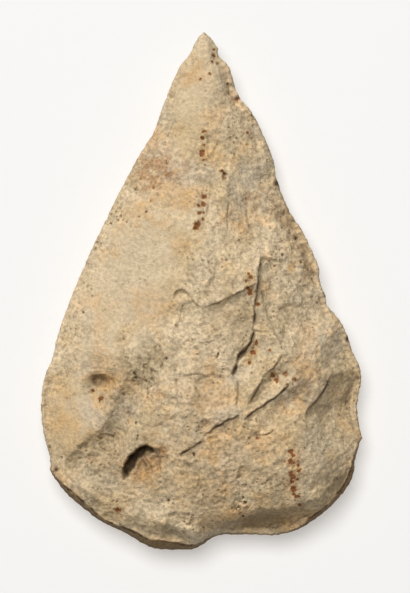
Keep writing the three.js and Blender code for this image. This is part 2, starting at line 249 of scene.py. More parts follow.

# single pits, mostly with rust, or dirt and painted shade, in them: x, y, radius, depth, rust, dirt and
# painted shade
singlePits = [
    (5.8, 106.8, 0.8, 0.5, 0.3, 0.6), (5.3, 102.3, 0.7, 0.5, 0.2, 0.7),
    (5.1, 100.6, 0.7, 0.5, 0.2, 0.7), (4, 95.9, 0.9, 0.5, 0.5, 0.5), (-0.4, 93, 0.9, 0.3, 0.3, 0.3),
    (1.8, 88.1, 0.6, 0.4, 0.3, 0.6), (2.9, 86.4, 0.6, 0.4, 0.2, 0.6), (11.5, 91.7, 0.7, 0.7, 0, 1),
    (12, 87.5, 0.8, 0.4, 0.5, 0.4), (15.1, 83.9, 1, 0.5, 0.5, 0.6), (22.2, 77.5, 0.7, 0.5, 0, 0.9),
    (12, 72.2, 0.6, 0.5, 0, 0.8), (20.4, 64.6, 1, 0.4, 0.5, 0.4), (22.2, 67.7, 0.9, 0.4, 0.5, 0.3),
    (2, 70.4, 0.8, 0.5, 0.5, 0.6), (1.8, 69, 0.8, 0.5, 0.4, 0.6), (0.4, 67.3, 0.8, 0.5, 0.5, 0.5),
    (0.7, 61.5, 1, 0.6, 0.7, 0.5), (0.2, 59.9, 1.1, 0.6, 0.7, 0.5), (-2.2, 53.1, 0.8, 0.4, 0.3, 0.6),
    (-1.3, 51.3, 0.6, 0.3, 0.3, 0.5), (2.2, 44, 0.6, 0.5, 0.6, 0.5), (0.9, 41.3, 1.3, 0.6, 0.9, 0.6),
    (0.7, 38.1, 1.2, 0.6, 0.9, 0.5), (0.7, 35.7, 0.5, 0.5, 0.7, 0.5), (0.9, 34, 0.7, 0.5, 0.8, 0.4),
    (0.6, 31.5, 0.9, 0.6, 0.9, 0.5), (-1.8, 29.1, 1.3, 0.9, 1, 0.7), (-2.4, 27.5, 1.3, 0.9, 1, 0.7),
    (-3.1, 24.6, 0.6, 0.4, 0.4, 0.6), (8.7, 52.6, 1.1, 0.6, 0.7, 0.8), (10, 51.5, 1.3, 0.7, 0.7, 0.8),
    (20.6, 7.3, 0.8, 0.5, 0.9, 0.2), (21.5, 5.8, 1.1, 0.6, 1, 0.3), (19.8, 4.2, 0.8, 0.4, 0.9, 0.2),
    (20.2, 1.1, 0.8, 0.5, 1, 0.2), (21.5, -0.4, 1.3, 0.6, 1, 0.3), (20.6, -1.3, 0.8, 0.5, 1, 0.2),
    (-27.1, 49.5, 1, 0.4, 0.5, 0.5), (-29.1, 45.1, 1.4, 0.4, 0.2, 0.6),
    (-21.8, 57.5, 0.9, 0.4, 0.5, 0.5), (-21.3, 45.5, 1.1, 0.3, 0.7, 0), (-19.5, 42.4, 1, 0.5, 0.3, 0.6),
    (-22.2, 39.7, 0.9, 0.3, 0.7, 0.1), (-24.4, 34.9, 0.7, 0.5, 0.1, 0.8),
    (-27.5, 32.6, 0.6, 0.4, 0.1, 0.7), (-32.9, 30.4, 0.5, 0.4, 0.1, 0.6),
    (-40.2, 29.7, 0.7, 0.5, 0.2, 0.8), (-20.4, 20.2, 0.8, 0.3, 0.1, 0.5),
    (-4, 16.2, 0.6, 0.4, 0.2, 0.6), (-52.4, -9.5, 0.7, 0.4, 0.4, 0.7),
    (-31.5, -5.1, 0.5, 0.3, 0.3, 0.5), (-11.1, -15.3, 1, 0.6, 0.2, 0.8),
    (-34.2, -21.1, 0.6, 0.4, 0.5, 0.6), (-48.8, -44.6, 0.9, 0.5, 0.1, 0.9),
    (-59.5, -47.7, 0.7, 0.5, 0.5, 0.5), (-60.4, -42.4, 0.9, 0.4, 0.4, 0.4),
    (-44.8, -48.8, 1, 0.5, 0.3, 0.8), (-44, -46.8, 0.6, 0.4, 0.6, 0.4),
    (-52.8, -50, 0.6, 0.4, 0.3, 0.5), (-39.5, -47.7, 0.6, 0.4, 0.5, 0.4),
    (-40.8, -42.8, 0.5, 0.4, 0.2, 0.7), (-44, -31.7, 1, 0.3, 0, 0.5), (-52.8, -33.5, 1.6, 0.3, 0, 0.25),
    (-15.5, -29.5, 1.2, 0.7, 0.1, 0.8), (-21.8, -35.3, 1.1, 0.6, 0, 0.8),
    (-29.3, -36.2, 0.9, 0.6, 0, 0.9), (-28.9, -38.4, 0.9, 0.6, 0.1, 0.9),
    (-27.5, -41.1, 0.9, 0.6, 0.3, 0.7), (-34.2, -45.5, 0.9, 0.5, 0, 0.8),
    (-28.4, -57.9, 0.9, 0.6, 0, 0.9), (-24.9, -38.4, 0.9, 0.4, 0.6, 0.5),
    (-28.4, -65, 0.6, 0.6, 0, 0.9), (-28, -63.7, 0.6, 0.6, 0, 0.8), (30, -26, 0.8, 0.3, 0.8, 0),
    (21.8, -36.2, 0.8, 0.4, 0.4, 0.7), (44, -27.8, 0.6, 0.4, 0.2, 0.7),
    (35.5, 18.9, 0.6, 0.5, 0.2, 0.9), (35.5, 15.8, 0.8, 0.5, 0.1, 0.9), (44, 12.7, 0.8, 0.4, 0.4, 0.7),
    (45.3, 16.2, 0.8, 0.4, 0.2, 0.8), (41.7, 23.1, 0.7, 0.4, 0.2, 0.8), (38.6, 25.5, 0.9, 0.3, 0, 0.7),
    (43.1, 18.9, 0.7, 0.3, 0.6, 0.3), (33.7, 37.1, 0.8, 0.4, 0.5, 0.4), (48.8, 5.1, 0.7, 0.4, 0.2, 0.8),
    (47.1, 0.2, 0.6, 0.4, 0.3, 0.5), (48.8, -2.9, 0.7, 0.4, 0.2, 0.5), (53.3, -6, 0.6, 0.4, 0.1, 0.7),
    (-3.3, -71.7, 0.9, 0.7, 0, 1), (-14.3, -92.1, 0.8, 0.6, 0, 1), (59.5, -82.8, 0.6, 0.4, 0, 0.8),
    (-36.9, -98.3, 0.7, 0.5, 0.3, 0.8), (-36, -96.6, 1.1, 0.3, 0.6, 0.3),
    (-48.8, -76.1, 0.6, 0.5, 0, 0.8), (-44.4, -76.6, 0.6, 0.5, 0, 0.8),
    (-44.8, -81.9, 0.6, 0.5, 0, 0.8), (-44.6, -65, 1, 0.6, 0.1, 0.9), (12, -60.6, 0.8, 0.4, 0.1, 0.7),
    (14.7, -61.1, 0.7, 0.4, 0.1, 0.6), (4, -64.2, 1, 0.3, 0.5, 0.4), (24.4, -64.6, 1, 0.3, 0.6, 0.2),
    (36.9, -36.6, 1.2, 0.3, 0.7, 0.3), (40.8, -38.9, 1.1, 0.3, 0.7, 0.2),
    (37.3, -41.1, 1, 0.3, 0.6, 0.6), (39.1, -70.4, 1.2, 0.5, 1, 0.3), (40.4, -72.2, 0.8, 0.4, 0.9, 0.2),
    (39.7, -75.3, 1.1, 0.5, 1, 0.3), (42.2, -74.8, 0.8, 0.3, 0.9, 0.1),
    (42.6, -76.6, 0.7, 0.3, 0.9, 0.1), (42.6, -78.8, 0.9, 0.4, 1, 0.2), (39.1, -80.1, 1.3, 0.5, 1, 0.3),
    (40, -81.9, 1.2, 0.3, 0.9, 0.1), (39.5, -83.7, 1, 0.5, 1, 0.2), (42.2, -82.8, 0.8, 0.3, 0.9, 0.1),
    (40.2, -87.7, 1, 0.4, 0.9, 0.2), (40.8, -89.5, 0.8, 0.4, 0.9, 0.2),
    (42.2, -91.2, 0.8, 0.3, 0.7, 0.1), (36.4, -74.8, 0.6, 0.3, 0.7, 0),
    (44.8, -77.9, 0.5, 0.3, 0.5, 0.2), (45.7, -80.1, 0.5, 0.3, 0.4, 0.2), (18.2, -90.8, 0.8, 0.6, 0, 1),
    (19.5, -93, 0.8, 0.6, 0, 1), (16.4, -94.8, 1, 0.6, 0, 1), (18.2, -99.2, 0.8, 0.6, 0, 1),
    (15.1, -96.1, 0.7, 0.5, 0, 0.9), (20, -96.1, 0.5, 0.5, 0, 0.9), (13.3, -95.7, 0.6, 0.4, 0, 0.8),
    (-32, -53.5, 0.7, 0.4, 0, 0.7), (-23.1, -28.2, 0.7, 0.4, 0.1, 0.7),
    (-18.2, -24.6, 0.7, 0.4, 0, 0.7), (7.5, -27.8, 0.8, 0.5, 0.2, 0.9),
    (6.7, -29.1, 0.7, 0.5, 0.3, 0.8), (9.8, -27.3, 0.5, 0.4, 0, 0.9), (-5.3, -22, 1.2, 0.4, 0.1, 0.4),
    (-9.3, -12.7, 1.1, 0.3, 0.2, 0.4), (5.3, 106.8, 0.7, 0.4, 1, 0.4), (5.5, 104.1, 0.8, 0.4, 1, 0.5),
    (4.9, 101.5, 0.7, 0.4, 1, 0.3), (3.6, 95.7, 0.8, 0.4, 1, 0.2), (-0.4, 93.5, 0.7, 0.3, 0.8, 0),
    (15.5, 85, 0.9, 0.5, 1, 0.4), (0.9, 69.9, 0.9, 0.5, 1, 0.5), (0.4, 67.3, 0.9, 0.5, 1, 0.4),
    (1.3, 64.2, 0.7, 0.4, 0.9, 0.2), (0.4, 60.6, 1.3, 0.6, 1, 0.4), (0.9, 57.5, 0.7, 0.4, 0.8, 0.2),
    (9.8, 50, 1.3, 0.6, 1, 0.6), (-1.3, 37.5, 0.8, 0.5, 1, 0.4), (-0.9, 34, 0.8, 0.5, 1, 0.4),
    (-1.3, 30.4, 0.7, 0.5, 1, 0.3), (24.9, -6, 1, 0.5, 1, 0.4), (37.7, 40.2, 1.1, 0.5, 0.9, 0.5),
    (20.4, 69.9, 0.7, 0.4, 0.8, 0.3), (31.1, -37.1, 1.2, 0.5, 1, 0.4), (32.9, -39.3, 1, 0.5, 1, 0.3),
    (24, -22.9, 1, 0.6, 1, 0.4), (22.6, -27.3, 1.1, 0.6, 1, 0.4), (20.9, -31.7, 0.9, 0.5, 1, 0.3),
    (39.1, -74.8, 1.4, 0.5, 1, 0.5), (40.4, -86.8, 1.3, 0.5, 1, 0.4), (42.2, -90.4, 0.9, 0.4, 1, 0.3),
    (43.1, -94.3, 0.8, 0.4, 1, 0.2), (-37.3, -96.6, 1.4, 0.5, 0.8, 0.4),
    (-48, -44.2, 0.9, 0.5, 0.9, 0.6), (-44.4, -47.7, 1.1, 0.5, 1, 0.3),
]

# deep hollows: middle, bearing, half length, half width, depth, dirt and painted shade
hollows = [
    ((-31.5, -76.6), 62, 6.5, 2.6, 5, 1), ((-27.1, -71.3), 40, 5.5, 2.4, 4, 0.9),
    ((-23.1, -69.7), 160, 3.4, 1.6, 2.6, 0.7), ((-23.5, -75.7), 40, 8.5, 6, 3.4, 0.3),
    ((-46.6, -39.7), 165, 5.5, 2.4, 1.6, 0.55), ((-43.1, -39.3), 170, 7.5, 3.4, 1.6, 0.35),
    ((18.2, -27.3), 50, 5, 1.4, 1.4, 0.6), ((14.7, -34.4), 70, 4.5, 1.2, 1.2, 0.6),
]

# bites and hollows in the edge, darkened: x, y, radius, depth, dirt and painted shade
edgeBites = [
    (33.7, 47.7, 2.2, 1.6, 0.9), (16.6, 85.7, 1.2, 0.8, 0.8), (55.1, -2, 1.6, 1, 0.7),
    (65.3, -21.5, 2, 1.6, 1), (69.3, -38.9, 1.4, 1, 0.7), (7.1, 100.6, 1.2, 0.8, 0.7),
    (-71, -51.7, 1.2, 0.8, 0.5), (-67.5, -69.5, 1.2, 0.8, 0.7), (-64.4, -79.3, 1.6, 0.8, 0.8),
    (-61.7, -21.1, 1.2, 0.8, 0.6), (37.3, 42, 1.6, 0.8, 0.5),
]

# broad stains: which, middle, bearing, half length, half width, strength
stains = [
    ("rosy", (-18.6, 52.6), 50, 13, 8.5, 1), ("rosy", (-24.9, 55.7), 60, 8, 5, 0.8),
    ("rosy", (-17.3, 62.4), 160, 7, 3.5, 0.4), ("ochre", (-11.5, 40.2), 10, 12, 6, 0.25),
    ("ochre", (-8.9, 20.2), 70, 7, 4.5, 0.5), ("ochre", (-34.2, -19.8), 60, 7, 4, 0.35),
    ("ochre", (-57.7, -59.7), 115, 20, 10, 0.5), ("ochre", (-32.9, -84.1), 100, 7, 5, 0.5),
    ("rosy", (-17.3, -70.8), 100, 4.5, 2.6, 1), ("rust", (-17.3, -69.9), 100, 3.5, 1.8, 0.45),
    ("ochre", (-23.1, -77.5), 60, 11, 8, 1), ("rosy", (-21.3, -75.3), 60, 8, 5, 0.75),
    ("rust", (-23.1, -78.8), 50, 6, 3.4, 0.34), ("rosy", (-28.9, -82.4), 60, 5, 3, 0.6),
    ("olive", (-27.5, -66.4), 30, 9, 4, 0.4), ("olive", (0.4, 95.7), 75, 44, 16, 0.19),
    ("olive", (-23.1, 22.4), 65, 60, 24, 0.12), ("olive", (-63, -66.4), 110, 20, 8, 0.12),
    ("olive", (26.6, -26.4), 70, 18, 10, 0.2), ("olive", (13.3, -79.7), 10, 50, 10, 0.1),
    ("rust", (41.3, -79.7), 88, 12, 3.4, 0.22), ("ochre", (-44, -45.1), 110, 9, 6, 0.6),
    ("ochre", (27.1, -92.6), 110, 7, 4, 0.7), ("ochre", (40, -79.7), 88, 13, 4.5, 0.6),
    ("ochre", (39.5, 10.4), 60, 2.6, 1.8, 0.9), ("ochre", (37.7, 29.1), 118, 28, 6, 0.35),
    ("ochre", (0.9, 61.1), 90, 4, 2.4, 0.7), ("ochre", (-2.2, 28.2), 90, 2.6, 2.4, 0.9),
    ("ochre", (20.4, 3.3), 90, 6, 3, 0.6), ("ochre", (22.2, -27.3), 60, 7, 2.4, 0.8),
    ("ochre", (5.8, -73), 15, 45, 16, 0.35), ("ochre", (21.3, -99.7), 5, 26, 7, 0.45),
    ("ochre", (1.3, -48.6), 70, 14, 9, 0.3), ("ochre", (-37.3, -95.2), 150, 10, 6, 0.35),
    ("ochre", (9.8, 98.8), 110, 10, 3, 0.3), ("olive", (-24, -31.7), 40, 15, 9, 0.7),
    ("olive", (-35.5, -50.4), 70, 17, 6, 0.65), ("olive", (-43.1, -69.9), 150, 13, 7, 0.45),
    ("olive", (-46.6, -40.2), 10, 6, 3, 0.8), ("ochre", (-43.5, -40.2), 170, 10, 5, 1),
    ("olive", (-45.3, -83.2), 135, 26, 13, 0.3), ("olive", (54.6, -66.4), 75, 22, 12, 0.3),
    ("olive", (14.7, -17.5), 30, 14, 8, 0.3), ("olive", (-9.8, -53.1), 60, 24, 12, 0.2),
    # grime patches: dirt, with painted shade on the scars and bevels that face down
    ("grimeAndShade", (13.3, -9.5), 20, 14, 5, 0.2), ("grimeAndShade", (1.3, -41.5), 90, 9, 3, 0.15),
    ("grimeAndShade", (29.3, -102.3), 2, 14, 4, 0.45), ("grimeAndShade", (60.4, -87.7), 50, 9, 4, 0.35),
    ("grimeAndShade", (36, 33.5), 118, 7, 4, 0.3), ("grimeAndShade", (63.9, -46.4), 80, 12, 4, 0.2),
    ("grey", (-45.3, -76.1), 150, 16, 9, 0.45), ("grey", (16.9, 49.1), 90, 20, 7, 0.35),
    ("grey", (36.9, -17.5), 100, 22, 12, 0.25), ("grey", (34.6, 0.2), 60, 9, 5, 0.35),
    ("grey", (1.3, 18), 90, 16, 8, 0.2), ("grey", (52.4, -61.9), 80, 14, 8, 0.3),
    ("grey", (-27.5, 4.7), 70, 30, 14, 0.2), ("grey", (-18.6, -95.2), 0, 12, 6, 0.25),
]

# the blunt side round the butt: where, and how wide it is seen from above
buttBand = [
    ((-67.5, -73), 0.2), ((-64.4, -82.4), 1.2), ((-55.1, -92.6), 2.6), ((-45.3, -99.2), 2.4),
    ((-37.3, -103.7), 1.8), ((-29.3, -106.8), 3), ((-18.6, -110.8), 4.6), ((-7.1, -113.9), 3.4),
    ((0, -112.6), 1.6), ((4.4, -110.3), 1), ((16.9, -108.1), 0.8), ((32.4, -108.6), 0.9),
    ((45.7, -104.1), 1.4), ((55.9, -96.1), 1.8), ((63.5, -87.7), 2.2), ((68.4, -77.9), 1.6),
    ((70.6, -66.4), 0.8), ((70.2, -48.6), 0.2),
]
print("stone tables read")


# ---- helpers for fields over the face
def ramp(low, high, v):
    t = np.clip((v - low) / (high - low), 0, 1)
    return t * t * (3 - 2 * t)


def makeNoise(seed):
    rng = np.random.default_rng(seed)
    bearing = rng.uniform(0, 2 * math.pi, 4096)
    slopeX, slopeY = np.cos(bearing), np.sin(bearing)

    def noise(x, y):
        ix, iy = np.floor(x).astype(np.int64), np.floor(y).astype(np.int64)
        fx, fy = x - ix, y - iy
        u, v = fx ** 3 * (fx * (6 * fx - 15) + 10), fy ** 3 * (fy * (6 * fy - 15) + 10)

        def corner(dx, dy):
            pick = ((ix + dx) * 73856093 ^ (iy + dy) * 19349663) & 4095
            return slopeX[pick] * (fx - dx) + slopeY[pick] * (fy - dy)

        low = corner(0, 0) * (1 - u) + corner(1, 0) * u
        high = corner(0, 1) * (1 - u) + corner(1, 1) * u
        return 1.5 * (low * (1 - v) + high * v)      # about -1 to 1

    return noise


noise = makeNoise(stone["seed"])


def layered(x, y, cell, layers=3, shift=0):
    total, weight = np.zeros_like(x), 1
    for i in range(layers):
        total += weight * noise(x / cell + 17.3 * i + shift, y / cell - 9.1 * i + 2 * shift)
        cell, weight = cell / 2, weight * 0.55
    return total


def turned(x, y, at, turn):
    c, s = math.cos(math.radians(turn)), math.sin(math.radians(turn))
    dx, dy = x - at[0], y - at[1]
    return dx * c + dy * s, dy * c - dx * s


def patch(x, y, at, turn, long, wide, ragged=0.35):     # 1 in the middle, 0 outside, uneven rim
    along, across = turned(x, y, at, turn)
    out = np.hypot(along / long, across / wide) + ragged * layered(x, y, 9, 3, at[0])
    return 1 - ramp(0.45, 1.25, out)


def pitField(x, y, cell, share, shift):     # 0 flat to 1 at the bottom of a pit
    fill = np.zeros_like(x)
    ix, iy = np.floor(x / cell).astype(np.int64), np.floor(y / cell).astype(np.int64)
    chance = np.random.default_rng(stone["seed"] + shift).uniform(0, 1, (4, 1024))
    for dx in (-1, 0, 1):
        for dy in (-1, 0, 1):
            pick = ((ix + dx) * 7919 ^ (iy + dy) * 104729) & 1023
            cx = (ix + dx + 0.15 + 0.7 * chance[0][pick]) * cell
            cy = (iy + dy + 0.15 + 0.7 * chance[1][pick]) * cell
            radius = cell * (0.22 + 0.3 * chance[2][pick])
            bowl = np.clip(1 - ((x - cx) ** 2 + (y - cy) ** 2) / radius ** 2, 0, 1)
            fill = np.maximum(fill, bowl * (chance[3][pick] < share))
    return fill


def chipped(x, y, cell, shift):     # small flat facets at odd tilts: height, and 1 on their borders
    x, y = x / cell + 0.3 * layered(x, y, cell, 2, shift), y / cell + 0.3 * layered(y, x, cell, 2, shift)
    ix, iy = np.floor(x).astype(np.int64), np.floor(y).astype(np.int64)
    chance = np.random.default_rng(stone["seed"] + 60 + shift).uniform(-0.5, 0.5, (5, 1024))
    away, height = [], []
    for dx in (-1, 0, 1):
        for dy in (-1, 0, 1):
            pick = ((ix + dx) * 7919 ^ (iy + dy) * 104729) & 1023
            fx = x - (ix + dx + 0.5 + 0.8 * chance[0][pick])
            fy = y - (iy + dy + 0.5 + 0.8 * chance[1][pick])
            away.append(np.hypot(fx, fy))
            height.append(chance[2][pick] + 1.6 * (chance[3][pick] * fx + chance[4][pick] * fy))
    away, height = np.array(away), np.array(height)
    weight = np.exp(-11 * (away - away.min(0)))
    first, second = np.partition(away, 1, axis=0)[:2]
    return (height * weight).sum(0) / weight.sum(0), 1 - ramp(0, 0.16, second - first)


def alongLine(x, y, line):      # distance, place 0 to 1, +1 on the left as walked
    best, place, side = np.full(x.shape, 1e9), np.zeros(x.shape), np.ones(x.shape)
    for i, (a, b) in enumerate(zip(line, line[1:])):
        abx, aby = b[0] - a[0], b[1] - a[1]
        apx, apy = x - a[0], y - a[1]
        t = np.clip((apx * abx + apy * aby) / max(abx * abx + aby * aby, 1e-9), 0, 1)
        away = np.hypot(apx - t * abx, apy - t * aby)
        near = away < best
        best = np.where(near, away, best)
        place = np.where(near, (i + t) / (len(line) - 1), place)
        side = np.where(near, np.where(apx * aby - apy * abx < 0, 1, -1), side)
    return best, place, side


def nearLine(x, y, line, reach):
    low, high = np.min(line, 0) - reach, np.max(line, 0) + reach
    return (x > low[0]) & (x < high[0]) & (y > low[1]) & (y < high[1])


def resample(points, step):
    length = np.concatenate([[0], np.cumsum(np.hypot(*np.diff(points, axis=0).T))])
    stations = np.linspace(0, length[-1], int(round(length[-1] / step)) + 1)
    return np.column_stack([np.interp(stations, length, points[:, i]) for i in (0, 1)]), stations


def normals(points):        # unit vectors to the left of a line as walked
    run = np.gradient(points, axis=0)
    return np.column_stack([-run[:, 1], run[:, 0]]) / np.hypot(run[:, 0], run[:, 1])[:, None]


def walked(line, stray, shift):     # corners rounded off, then wandering a little from side to side
    points = np.array(line, float)
    for _ in range(2):
        a, b = points[:-1], points[1:]
        cut = np.column_stack([0.75 * a + 0.25 * b, 0.25 * a + 0.75 * b]).reshape(-1, 2)
        points = np.vstack([points[:1], cut, points[-1:]])
    points, s = resample(points, 0.5)
    wander = stray * layered(s, s * 0, 4.5, 4, shift * 1.7)
    return points + normals(points) * wander[:, None]


for i, step in enumerate(upperSteps):
    step["walk"] = walked(step["line"], step["stray"], i)
for i, crack in enumerate(upperCracks):
    crack["walk"] = walked(crack["line"], 0.3, 50 + i)
for i, arris in enumerate(upperArrises):
    arris["walk"] = walked(arris["line"], 0.7, 80 + i)


# ---- the edge: cusps and bows, then small scalloped retouch along it
def edgeCurve(cusps):
    points = []
    for (x0, y0, bow), (x1, y1, _) in zip(cusps, cusps[1:]):
        reach = 2 * bow / math.hypot(x1 - x0, y1 - y0)
        mx, my = (x0 + x1) / 2 - (y0 - y1) * reach, (y0 + y1) / 2 - (x1 - x0) * reach
        for t in np.linspace(0, 1, 30, endpoint=False):
            a, b, c = (1 - t) ** 2, 2 * t * (1 - t), t * t
            points.append((a * x0 + b * mx + c * x1, a * y0 + b * my + c * y1))
    points.append(cusps[-1][:2])
    return np.array(points)


# length of a bite along the edge, how far in it goes for its length, reach and depth of its scar
retouch = {"bite": (1.6, 5.5), "inward": 0.07, "scar": (2, 8), "depth": (0.1, 0.75)}


def retouchedEdge(cusps, shift):
    points, s = resample(edgeCurve(cusps), stone["rimStep"])
    rng = np.random.default_rng(stone["seed"] + shift)
    ends = [0]
    while ends[-1] < s[-1]:
        ends.append(ends[-1] + rng.uniform(*retouch["bite"]))
    ends = np.array(ends)
    bite = np.clip(np.searchsorted(ends, s, side="right") - 1, 0, len(ends) - 2)
    u = (s - ends[bite]) / (ends[bite + 1] - ends[bite])
    size = (ends[bite + 1] - ends[bite]) * rng.uniform(0.2, 1.5, len(ends))[bite] * retouch["inward"]
    inward = size * 4 * u * (1 - u) + 0.12 * layered(s, s * 0, 1.6, 2, shift)
    inward *= np.clip(np.minimum(s, s[-1] - s) / 2, 0, 1)
    moved = points + normals(points) * inward[:, None]
    scar = rng.uniform(*retouch["scar"], len(ends))
    deep = rng.uniform(*retouch["depth"], len(ends))
    return {"points": moved, "s": s, "ends": ends, "scar": scar, "deep": deep}


leftSide, rightSide = retouchedEdge(leftEdge, 1), retouchedEdge(rightEdge, 3)
rim = np.vstack([leftSide["points"], rightSide["points"][1:-1]])     # tip, left, butt, right
print("edge made,", len(rim), "points")


# ---- height of the two faces, and masks that say where the material changes
# Masks for colour. The dark seam and grime masks are part dirt, part painted shade in recesses and on
# faces that turn down; the olive mask holds painted shade where the face turns down and on the blunt
# side; the worn mask is paler raised grain, part wear, part painted highlight.
maskNames = ("ochre", "rosy", "rust", "grimeAndShade", "olive", "grey", "seamDirtAndShade", "worn")


def swell(x, y):
    return (0.5 * np.sin(x / 9.1 + y / 17.3) + 0.45 * np.sin(y / 8.3 - x / 21.7 + 1.3)
            + 0.4 * np.sin(x / 6.1 - y / 7.9 + 4.1))


def edgeHeight(x, y):
    return (stone["edgeHeight"] + 1.5 * np.sin(x / 27 + 0.4) * np.cos(y / 31 + 1)
            + 1.1 * np.sin(y / 14 + x / 38))


def domeRise(dome, toLeft, toRight):
    height, leftSlope, rightSlope = dome
    a = height * (1 - np.exp(-leftSlope * toLeft / height))
    b = height * (1 - np.exp(-rightSlope * toRight / height))
    reach = np.maximum(stone["crestRound"] * (a + b) / 2, 1e-6)
    overlap = np.maximum(reach - abs(a - b), 0) / reach
    return np.minimum(a, b) - overlap ** 2 * reach / 4


def softDome(dome):     # the same rise averaged over a neighbourhood, for the middle of the face
    grid = stone["domeGrid"]
    xs, ys = np.arange(-90, 91, grid), np.arange(-132, 133, grid)
    gx, gy = np.meshgrid(xs, ys)
    toLeft = alongLine(gx.ravel(), gy.ravel(), leftSide["points"])[0]
    toRight = alongLine(gx.ravel(), gy.ravel(), rightSide["points"])[0]
    rise = domeRise(dome, toLeft, toRight).reshape(gx.shape)
    for _ in range(stone["domePasses"]):
        beside = np.roll(rise, 1, 0) + np.roll(rise, -1, 0) + np.roll(rise, 1, 1) + np.roll(rise, -1, 1)
        rise = (beside + 2 * rise) / 6

    def height(x, y):
        u, v = (x - xs[0]) / grid, (y - ys[0]) / grid
        i, j = u.astype(int), v.astype(int)
        u, v = u - i, v - j
        return ((rise[j, i] * (1 - u) + rise[j, i + 1] * u) * (1 - v)
                + (rise[j + 1, i] * (1 - u) + rise[j + 1, i + 1] * u) * v)

    return height


def scarDepth(x, y, scars):
    deepest = np.zeros_like(x)
    for cx, cy, turn, long, wide, deep in scars:
        along, across = turned(x, y, (cx, cy), turn)
        out = (along / long) ** 2 + (across / wide) ** 2
        deepest = np.maximum(deepest, deep * (1 - out))
    return deepest


def toEdge(x, y, side):     # distance to one side of the edge, and the retouch scar there
    away, place, _ = alongLine(x, y, side["points"])
    s = place * side["s"][-1]
    bite = np.clip(np.searchsorted(side["ends"], s, side="right") - 1, 0, len(side["ends"]) - 2)
    u = (s - side["ends"][bite]) / (side["ends"][bite + 1] - side["ends"][bite])
    bowl = np.maximum(1 - (away / side["scar"][bite]) ** 2, 0) * 4 * u * (1 - u)
    return away, side["deep"][bite] * bowl


def bandWidth(x, y):    # of the blunt side, read by bearing from the middle of the butt
    bearing = [math.atan2(py + 45, px) % (2 * math.pi) for (px, py), _ in buttBand]
    widths = [w for _, w in buttBand]
    return np.interp(np.arctan2(y + 45, x) % (2 * math.pi), bearing, widths)


def faceFields(x, y, upper):    # distance in from the edge, retouch, butt, blunt side, main rise
    toLeft, leftScar = toEdge(x, y, leftSide)
    toRight, rightScar = toEdge(x, y, rightSide)
    d = np.minimum(toLeft, toRight)
    scar = np.maximum(leftScar, rightScar)
    butt = ramp(45, 112, -y)
    wide = bandWidth(x, y) * (1 + 0.35 * layered(x, y, 14, 2, 9)) if upper else np.full_like(x, 0.3)
    climb = 1 - np.clip(1 - d / np.maximum(wide, 0.3), 0, 1) ** 1.15
    slow = 1 - np.exp(-d / stone["rimWidth"])
    side = stone["sideSlope"] * wide * np.exp(-np.maximum(d - wide, 0) / 9)
    rise = (stone["rimLeast"] + side) * climb + stone["rimButt"] * butt * upper * slow
    dome = stone["upperDome" if upper else "lowerDome"]
    middle = ramp(6, 26, d)
    rise += domeRise(dome, toLeft, toRight) * (1 - middle) + softDome(dome)(x, y) * middle
    return d, scar, butt, wide, rise


def most(masks, name, where, value):
    masks[name][where] = np.maximum(masks[name][where], value)


def cutSteps(x, y, relief, masks, edgy):        # each with its dirt and painted shade
    for i, step in enumerate(upperSteps):
        near = nearLine(x, y, step["walk"], 3.5 * step["fade"])
        px, py = x[near], y[near]
        away, place, side = alongLine(px, py, step["walk"])
        signed = side * away
        ends = ramp(0, 0.16, place) * ramp(0, 0.16, 1 - place)
        low = ramp(-0.3, 0.3, signed)
        uneven = 0.8 + 0.5 * noise(px / 5 + i, py / 5)
        drop = step["drop"] * ends * uneven
        cut = drop * low * np.exp(-np.maximum(signed, 0) / step["fade"])
        lip = 0.1 * drop * (1 - low) * np.exp(np.minimum(signed, 0) / 1.6)
        relief[near] -= (cut - lip) * edgy[near]
        # the dark foot of each step is part dirt, part painted shade under its wall
        foot = step["dirt"] * ends * uneven * (1 - abs(signed - 0.15) / (0.7 + 0.18 * step["drop"]))
        most(masks, "seamDirtAndShade", near, foot)


def turnArrises(x, y, relief, masks, inside):
    for arris in upperArrises:
        near = nearLine(x, y, arris["walk"], 5 * arris["reach"])
        away, place, side = alongLine(x[near], y[near], arris["walk"])
        ends = ramp(0, 0.15, place) * ramp(0, 0.15, 1 - place)
        signed = side * away
        off = np.maximum(signed, 0) / arris["reach"]
        fall = arris["drop"] * ends * off * np.exp(1 - off) * (1 - ramp(0.8, 2, off))
        relief[near] -= fall * inside[near]
        # dull olive colour on the side that turns down: part the stone's own, part painted shade
        dull = arris["dull"] * ends * ramp(-0.4, 0.8, signed) * (1 - ramp(0.4, 1.6, off))
        most(masks, "olive", near, dull)


def openCracks(x, y, relief, masks):
    for crack in upperCracks:
        near = nearLine(x, y, crack["walk"], 4)
        away, place, _ = alongLine(x[near], y[near], crack["walk"])
        ends = ramp(0, 0.1, place) * ramp(0, 0.1, 1 - place)
        relief[near] -= crack["deep"] * ends * np.exp(-(away / crack["width"]) ** 2)
        # darker in the crack: dirt and painted shade
        most(masks, "seamDirtAndShade", near, crack["dirt"] * ends * (1 - away / 0.9))


def inPatch(x, y, zone):
    return patch(x, y, zone["at"], zone["turn"], zone["long"], zone["wide"])


